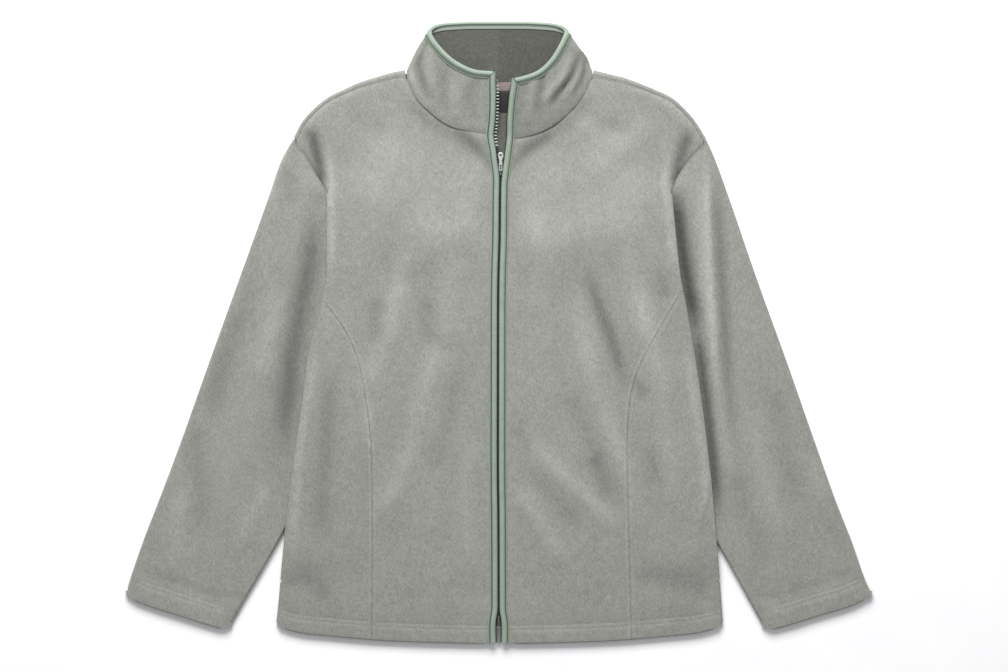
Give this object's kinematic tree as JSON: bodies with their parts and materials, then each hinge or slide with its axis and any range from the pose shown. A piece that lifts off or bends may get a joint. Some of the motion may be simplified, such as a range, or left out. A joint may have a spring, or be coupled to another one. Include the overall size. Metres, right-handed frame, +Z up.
{
  "type": "fleece zip jacket",
  "caption": "Long-sleeved stand-collar fleece jacket with a full front zip and bound edges, laid flat on its back, rigid, with a hinged zip pull.",
  "frame": {"origin": "on the surface the jacket lies on, under the middle of its box", "axes": "+X towards the wearer's left sleeve, +Y from hem to collar, +Z up from the surface, out of the jacket's front"},
  "size_m": [0.8994, 0.7455, 0.0226],
  "materials": {
    "fleece": "matt brushed microfleece, warm grey",
    "binding": "smooth stretch binding, grey green",
    "tape": "woven zip tape with coil teeth, grey green",
    "metal": "satin nickel plate on zinc",
    "slider": "dark blue-grey enamel",
    "neck_tape": "fine herringbone tape, pinkish grey",
    "label": "bare woven label, charcoal"
  },
  "bodies": {
    "jacket": {"back": "fleece", "front_right": "fleece", "front_left": "fleece", "side_front_right": "fleece", "side_front_left": "fleece", "sleeve_right": "fleece", "sleeve_left": "fleece", "collar": "fleece", "binding_front_right": "binding", "binding_front_left": "binding", "binding_collar": "binding", "zip_tape_right": "tape", "zip_tape_left": "tape", "zip_slider": "slider", "zip_box": "metal", "zip_pin": "metal", "zip_top_stop_right": "metal", "zip_top_stop_left": "metal", "neck_tape": "neck_tape", "label": "label"},
    "pull": {"zip_pull": "metal"}
  },
  "joints": [
    {"name": "pull_lift", "type": "hinge", "parent": "jacket", "child": "pull", "pos_m": [0.0014, 0.1935, 0.00831], "axis": [1, 0, 0], "range_deg": [0, 140]}
  ]
}
